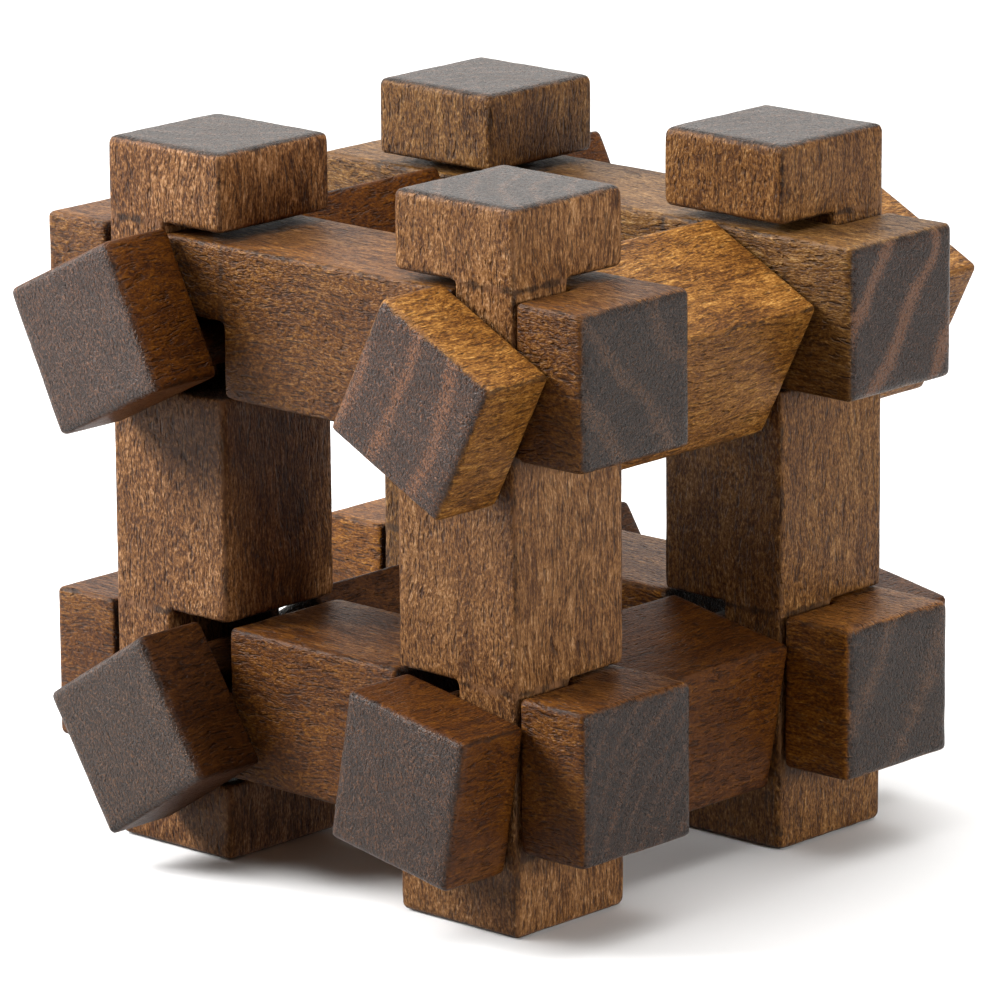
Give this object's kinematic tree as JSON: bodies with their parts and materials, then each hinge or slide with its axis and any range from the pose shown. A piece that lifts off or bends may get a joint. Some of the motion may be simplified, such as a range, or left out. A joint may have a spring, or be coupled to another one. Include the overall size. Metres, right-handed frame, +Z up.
{
  "type": "wooden burr puzzle",
  "caption": "Square wooden rods interlocked as an open cube cage, standing on the ends of its upright rods. The rods with round necks turn.",
  "frame": {"origin": "centre of the footprint, on the surface that the posts stand on", "axes": "+X along the rails to the right seen from the front, +Y along the keys to the back, +Z up the posts"},
  "size_m": [0.0744, 0.0748, 0.074],
  "materials": {
    "stained_wood": "satin"
  },
  "bodies": {
    "cage": {"post_front_right": "stained_wood", "post_front_left": "stained_wood", "post_back_right": "stained_wood", "post_back_left": "stained_wood", "rail_front_top": "stained_wood", "rail_front_bottom": "stained_wood", "rail_back_top": "stained_wood", "rail_back_bottom": "stained_wood"},
    "key_right_top": {"key_right_top": "stained_wood"},
    "key_left_top": {"key_left_top": "stained_wood"},
    "key_right_bottom": {"key_right_bottom": "stained_wood"},
    "key_left_bottom": {"key_left_bottom": "stained_wood"}
  },
  "joints": [
    {"name": "turn_right_top", "type": "hinge", "parent": "cage", "child": "key_right_top", "pos_m": [0.01688, 0, 0.05305], "axis": [0, 1, 0], "continuous": true},
    {"name": "turn_left_top", "type": "hinge", "parent": "cage", "child": "key_left_top", "pos_m": [-0.01713, 0, 0.0533], "axis": [0, 1, 0], "continuous": true},
    {"name": "turn_right_bottom", "type": "hinge", "parent": "cage", "child": "key_right_bottom", "pos_m": [0.01688, 0, 0.02057], "axis": [0, 1, 0], "continuous": true},
    {"name": "turn_left_bottom", "type": "hinge", "parent": "cage", "child": "key_left_bottom", "pos_m": [-0.01638, 0, 0.01995], "axis": [0, 1, 0], "continuous": true}
  ]
}
